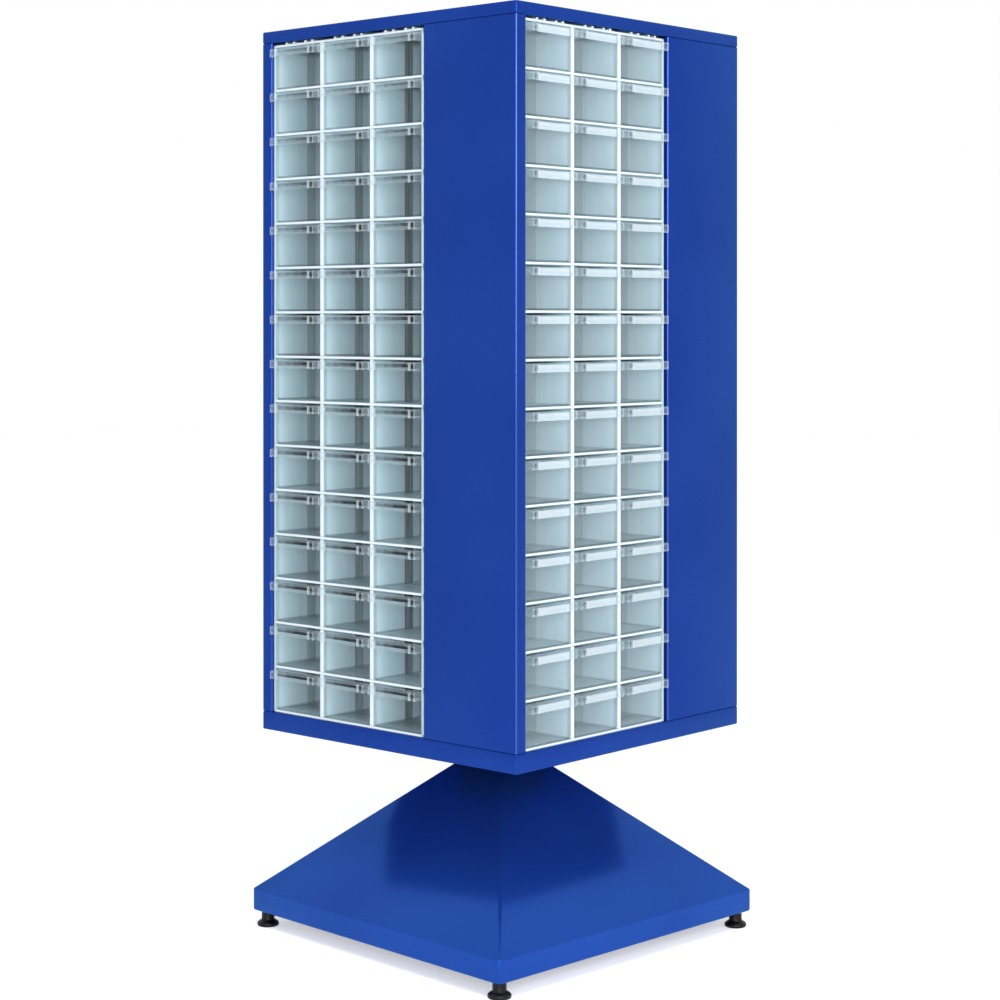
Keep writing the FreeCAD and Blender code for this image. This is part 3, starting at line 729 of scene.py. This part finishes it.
panelShape = cornerPanel()
for quarter, side in enumerate(sideNames):
    addPiece(f"cornerPanel_{side}", quarterTurned(panelShape, quarter), finishes["blue_paint"],
             "carousel", [f"corner_panel_{side}"], foldMarks(panelShape))
print("sheet metal made")


def shelfLevel(row):
    # top of the shelf under a row, with row 1 at the top of the tower
    return shelfLow.z + grid["shelf"] + (grid["rows"] - row) * grid["rowPitch"]


def shelfPlates():
    levels = shelfLow.z + np.arange(grid["rows"] + 1) * grid["rowPitch"]
    left, right = grid["left"] + grid["sideWall"], grid["right"] - grid["sideWall"]
    back = grid["front"] + grid["depth"]
    lows = [(left, grid["front"], z) for z in levels]
    highs = [(right, back, z + grid["shelf"]) for z in levels]
    return easedBlocks(lows, highs, grid["ease"])


def dividerWalls():
    half, height = grid["divider"] / 2, grid["rowPitch"] - grid["shelf"]
    places = [
        (grid["left"] + column * grid["columnPitch"], shelfLevel(row))
        for column in range(1, grid["columns"]) for row in range(1, grid["rows"] + 1)]
    lows = [(x - half, grid["front"] + grid["frontStep"], z) for x, z in places]
    highs = [(x + half, grid["front"] + grid["depth"], z + height) for x, z in places]
    return easedBlocks(lows, highs, grid["ease"])


def blockCheeks():
    starts = (grid["left"], grid["right"] - grid["sideWall"])
    back = grid["front"] + grid["depth"]
    lows = [(x, grid["front"], blockLow.z) for x in starts]
    highs = [(x + grid["sideWall"], back, blockHigh.z) for x in starts]
    return easedBlocks(lows, highs, grid["ease"])


rail = {
    "places": (0.27, 0.42, 0.66, 0.80),     # shares of a column's width
    "width": 0.006, "height": 0.0032,
}


def stackingRails():
    # ridges along the top of each block, four to a column
    half, back = rail["width"] / 2, grid["front"] + grid["depth"]
    middles = [
        grid["left"] + (column + share) * grid["columnPitch"]
        for column in range(grid["columns"]) for share in rail["places"]]
    lows = [(x - half, grid["front"], blockHigh.z) for x in middles]
    highs = [(x + half, back, blockHigh.z + rail["height"]) for x in middles]
    return easedBlocks(lows, highs, grid["ease"])


blockMarks = {
    "cheekDepth": 2 * millimetre,     # the outer walls have no white edge, but the painted shade behind the front edges
    "rightFace": (0.55, 1.0),         # how dark the painted shade of a right face's windows is, in the first and last column
    "leftFace": 0.3,
}


def depthMarks(name, shape):
    # the depth behind the block front, and a window's depth on the outer faces, which take painted shade for
    # the dark gap they stand in;
    # a wall's windows are painted shade, dark on its right face, most of all in the last column, and pale on
    # its left one
    x, depth = shape[0][:, 0], shape[0][:, 1] - grid["front"]
    if name == "blockCheeks":
        depth = np.maximum(depth, blockMarks["cheekDepth"])
    outer = np.isclose(x, grid["left"]) | np.isclose(x, grid["right"])
    depth = np.where(outer, np.mean(housing["windows"][0]), np.maximum(depth, 0))
    column = np.floor((x - grid["left"] + grid["columnPitch"] / 2) / grid["columnPitch"])
    wall = x - grid["left"] - column * grid["columnPitch"]
    dark = np.interp(column, (0, grid["columns"] - 1), blockMarks["rightFace"])
    window = np.where(wall > 0, dark, blockMarks["leftFace"])
    return {name: ("POINT", np.tile(numbers, len(sideNames)))
            for name, numbers in (("depth", depth), ("window", window))}


for name, shape, nodes in (
        ("shelfPlates", shelfPlates(), ["drawer_shelves"]),
        ("dividerWalls", dividerWalls(), ["drawer_dividers"]),
        ("blockCheeks", blockCheeks(), ["block_sides"]),
        ("stackingRails", stackingRails(), [])):
    addPiece(name, onAllSides(shape), finishes["housing_plastic"], "carousel", nodes,
             depthMarks(name, shape))
print("drawer blocks made")


drawer = {
    "width": drawerHigh.x - drawerLow.x,
    "height": drawerHigh.z - drawerLow.z,
    "setback": 0.0015,       # of the tub behind the block front
    "back": drawerHigh.y - grid["front"],
    "wall": 0.002,
    "floor": 0.002,
    "corner": 0.004,
    "cornerSteps": 2,
    "foot": 0.0015,          # eased bottom edge
    "shadedRim": 0.0035,           # painted shade: a dark edge round the bottom
    "cornerShade": 0.45,     # and how much of it the upright corners have
    "reach": 0.014,          # pull lip ahead of the block front
    "apron": 0.015,
    "lipWall": 0.002,
    "turnDown": 0.0035,      # front edge of the ledge, down to the slot
    "slotSill": 0.0085,      # lower edge of the slot
    "windowSill": 0.0115,    # lower edge of the small windows at both ends
    "endPlate": 0.0555,      # distance from the middle
    "innerRib": 0.0425,
    "ribWidth": 0.003,
    "ribStand": 0.0008,
    "slip": 0.0008,          # blank slip behind the slot
    "slipPlay": 0.0002,
    # painted light: the right and left sides get blank slips in their lips and milkier tub fronts, so they
    # read paler than the front and back
    "slipSides": ("right", "left"),
    "slipShare": 1.7,        # how milky a slip is beside the ribs of the lip
    "plateShare": 0.35,      # and the thin plates of the lip
    "veil": {"front": 0.05, "right": 0.34, "back": 0.05, "left": 0.34},     # and the front wall of the tub, milkier on the right and left sides as painted light
    "recessShade": (0.0002, 0.0006),     # of the dark plate of painted shade: nearest and farthest from the tub's front, ahead of it
    "recessShadeDepth": 0.0115,
    "recessShadeSpans": 5,
    # how dark the painted shade in the lip's recess is at its left and right ends on each side, and in the
    # top row and the bottom row
    "shaded": {"front": (0.5, 1.2), "right": (0.6, 0.2), "back": (0.5, 1.2), "left": (0.6, 0.2)},
    "rowShade": (0.75, 1.3),
}


def drawerTub():
    # rounded rectangles, from the bottom up outside, over the rim and down inside
    front, back = drawer["setback"], drawer["back"]
    halfWidth, halfDepth = drawer["width"] / 2, (back - front) / 2
    height, wall, steps = drawer["height"], drawer["wall"], drawer["cornerSteps"]
    corners = np.repeat([(1, 1), (-1, 1), (-1, -1), (1, -1)], steps + 1, axis=0)

    def ring(inset, radius, level):
        middles = corners * np.array([halfWidth - inset - radius, halfDepth - inset - radius])
        flat = middles + squareRing(radius, radius, level, steps)[:, :2] + (0, (front + back) / 2)
        return np.column_stack([flat, np.full(len(flat), level)])

    outer, inner = drawer["corner"], drawer["corner"] - wall
    rings = [
        ring(drawer["foot"], outer, 0), ring(0, outer, drawer["foot"]), ring(0, outer, drawer["shadedRim"]),
        ring(0, outer, height), ring(wall, inner, height), ring(wall, inner, drawer["floor"])]
    return skin(np.array(rings), closed=False)


def drawerLip():
    # a ledge with its front edge turned down, and below it an apron with a slot, ribs and two small windows
    top, reach, wall = drawer["height"], drawer["reach"], drawer["lipWall"]
    half, front, rib = drawer["width"] / 2, drawer["setback"], drawer["innerRib"]
    edge = [(front, top), (-reach, top), (-reach, top - drawer["turnDown"])]
    ledge = drawnAlong(foldedSheet(edge, wall, wall, steps=2), 0, (-half, half))
    bottom, sill = top - drawer["apron"], top - drawer["windowSill"]
    # left, right and high of the flat pieces of the apron
    plates = [(-rib, rib, top - drawer["slotSill"]), (-half, -rib, sill), (rib, half, sill)]
    lows = [(left, -reach, bottom) for left, right, high in plates]
    highs = [(right, wall - reach, high) for left, right, high in plates]
    # the end plates reach back to the tub, and the inner ribs end half a wall behind the apron
    ribBack = 1.5 * wall - reach
    end, width = drawer["endPlate"], drawer["ribWidth"]
    for x, back in ((-end, front), (-rib, ribBack), (rib, ribBack), (end, front)):
        lows.append((x - width / 2, -reach - drawer["ribStand"], bottom))
        highs.append((x + width / 2, back, top - wall / 2))
    return joined(ledge, bareBoxes(lows, highs))


def lipShadePlate():
    # a dark plate of painted shade at the back of the lip, seen through its slot and windows, in spans that
    # are not equally dark
    half, front, top = drawer["endPlate"] - drawer["ribWidth"] / 2, drawer["setback"], drawer["height"]
    near, far = drawer["recessShade"]
    ends = np.linspace(-half, half, drawer["recessShadeSpans"] + 1)
    return bareBoxes(
        [(x, front - far, top - drawer["recessShadeDepth"]) for x in ends[:-1]],
        [(x, front - near, top - drawer["lipWall"]) for x in ends[1:]])


def lipSlip():
    half, top = drawer["innerRib"] - drawer["ribWidth"], drawer["height"]
    offset = drawer["lipWall"] + drawer["slipPlay"]
    back = offset - drawer["reach"]
    return bareBoxes([(-half, back, top - drawer["apron"])], [(half, back + drawer["slip"], top - offset)])


drawerParts = {"tub": drawerTub(), "lip": drawerLip(), "recessShade": lipShadePlate(), "slip": lipSlip()}
tiny = 1e-6                  # room for rounding where a face's middle may lie on a level
slack = 0.2 * millimetre     # and beside a wall


def drawerMarks(kind, shape, side):
    # one number for each face and mark: lip is 1 on the ribs, less on the thin plates, more on a slip
    marks = {"lip": [], "shadedRim": [], "recessShade": []}
    frontWall = drawer["setback"] + drawer["wall"] + slack
    lipFront = drawer["lipWall"] - drawer["reach"] - slack
    for faces in shape[1]:
        x, y, z = shape[0][faces].mean(1).T
        ribs = sum(np.abs(np.abs(x) - place) < drawer["ribWidth"] / 2 + slack
                   for place in (drawer["endPlate"], drawer["innerRib"]))
        milky = {
            "tub": drawer["veil"][side] * (y < frontWall),
            "lip": np.where((ribs > 0) & (y < lipFront), 1.0, drawer["plateShare"]),
            "recessShade": np.zeros(len(x)),
            "slip": np.full(len(x), drawer["slipShare"])}
        marks["lip"].append(milky[kind])
        # painted shade on the bottom band, the top edge and, less, the upright corners of the tub
        low, high = (z < drawer["shadedRim"]) & (z > tiny), z > drawer["height"] - tiny
        across = np.abs(x) > drawer["width"] / 2 - drawer["corner"]
        along = (y < drawer["setback"] + drawer["corner"]) | (y > drawer["back"] - drawer["corner"])
        shade = np.maximum(low | high, drawer["cornerShade"] * (across & along))
        marks["shadedRim"].append(shade * (kind == "tub"))
        # painted shade behind the lip, darker towards one end, which differs by side
        dark = np.interp(x, (-drawer["endPlate"], drawer["endPlate"]), drawer["shaded"][side])
        marks["recessShade"].append(dark * (kind == "recessShade"))
    return {name: np.concatenate(numbers) for name, numbers in marks.items()}


def tiled(shape, numbers, scales):
    # the faces of copies come set by set: each set's numbers are repeated in turn, times the copy's scale
    ends = np.cumsum([len(faces) for faces in shape[1]])[:-1]
    return np.concatenate([np.outer(scales, part).ravel() for part in np.split(numbers, ends)])


def drawersIn(side, cells):
    # the drawer of each (row, column) cell of a side, and the marks of its faces
    middle = (grid["columns"] + 1) / 2
    places = [
        (grid["middle"] + (column - middle) * grid["columnPitch"], grid["front"], shelfLevel(row))
        for row, column in cells]
    even = np.ones(len(cells))
    rowShades = np.interp([row for row, column in cells], (1, grid["rows"]), drawer["rowShade"])
    scales = {"lip": even, "shadedRim": even, "recessShade": rowShades}
    copies, marks = [], {name: [] for name in scales}
    for kind in ["tub", "lip", "recessShade"] + ["slip"] * (side in drawer["slipSides"]):
        shape = drawerParts[kind]
        copies.append(repeated(shape, places))
        for name, numbers in drawerMarks(kind, shape, side).items():
            marks[name].append(tiled(shape, numbers, scales[name]))
    marks = {name: ("FACE", np.concatenate(numbers)) for name, numbers in marks.items()}
    return quarterTurned(joined(*copies), sideNames.index(side)), marks


for name, (side, row, column) in slidingCells.items():
    shape, marks = drawersIn(side, [(row, column)])
    addPiece(name.replace("drawer", "slidingDrawer"), shape, finishes["clear_plastic"],
             name, [name], marks)
for side in sideNames:
    cells = [
        (row, column) for row in range(1, grid["rows"] + 1) for column in range(1, grid["columns"] + 1)
        if (side, row, column) not in slidingCells.values()]
    shape, marks = drawersIn(side, cells)
    addPiece(f"closedDrawers_{side}", shape, finishes["clear_plastic"],
             "carousel", [f"closed_drawers_{side}"], marks)
print("drawers made")


white = (1, 1, 1, 1)
stageSetup = {
    "reach": 15.0,
    "floor": ((244, 244, 245), (238, 239, 241)), "mottle": 6.0,
    "fixed": {"Roughness": 0.9, "Emission Color": white},
    "glow": 0.45,     # of the floor for the camera and in mirrors, where it turns it white
    "sky": 0.58,      # light on the part
    "seen": 1.0,      # background for the camera, in mirrors and through glass
}


def makeFloor():
    reach = stageSetup["reach"]
    corners = [(-reach, -reach, 0), (reach, -reach, 0), (reach, reach, 0), (-reach, reach, 0)]
    mesh = bpy.data.meshes.new("floor")
    mesh.from_pydata(corners, [], [(0, 1, 2, 3)])
    floor = bpy.data.objects.new("floor", mesh)
    bpy.context.scene.collection.objects.link(floor)
    finish = Finish("paleFloor", stageSetup["fixed"])
    rays = finish.add("ShaderNodeLightPath")
    seen = (rays[0] + rays[3] + rays[5]).between(0, 1)     # camera, glossy and reflection rays
    light, dark = stageSetup["floor"]
    mottle = finish.mixed(finish.noise(stageSetup["mottle"]), linear(*light), linear(*dark))
    finish.feed({"Base Color": mottle, "Emission Strength": seen * stageSetup["glow"]})
    mesh.materials.append(finish.material)


def makeWorld():
    world = bpy.data.worlds.new("studio")
    bpy.context.scene.world = world
    world.use_nodes = True
    nodes = Nodes(world.node_tree, "Background")
    rays = nodes.add("ShaderNodeLightPath")
    seen = nodes.maths("MAXIMUM", rays[0], rays[3])     # camera, glossy and transmission rays
    seen = nodes.maths("MAXIMUM", seen, rays[6])
    levels = {0: seen, 3: stageSetup["sky"], 4: stageSetup["seen"]}
    nodes.feed({"Color": white, "Strength": nodes.add("ShaderNodeMapRange", {}, levels)[0]})


lamps = {
    "frontLamp": {"place": (3.3, -3.9, 1.7), "target": (0, 0, 0.9), "width": 1.8, "power": 95},
    "keyLamp": {"place": (4.5, -1.6, 2.6), "target": (0, 0, 1.0), "width": 2.5, "power": 96},
    "topLamp": {"place": (1.5, -1.7, 4.4), "target": (0, 0, 0.2), "width": 1.6, "power": 50},
}


def addLamp(name, setup):
    data = bpy.data.lights.new(name, "AREA")
    data.shape = "SQUARE"
    data.size = setup["width"]
    data.energy = setup["power"]
    lamp = bpy.data.objects.new(name, data)
    bpy.context.scene.collection.objects.link(lamp)
    lamp.location = setup["place"]
    lamp.rotation_mode = "QUATERNION"
    aim = Vector(setup["target"]) - Vector(setup["place"])
    lamp.rotation_quaternion = aim.to_track_quat("-Z", "Y")


makeFloor()
makeWorld()
for name, setup in lamps.items():
    addLamp(name, setup)
print("stage made")
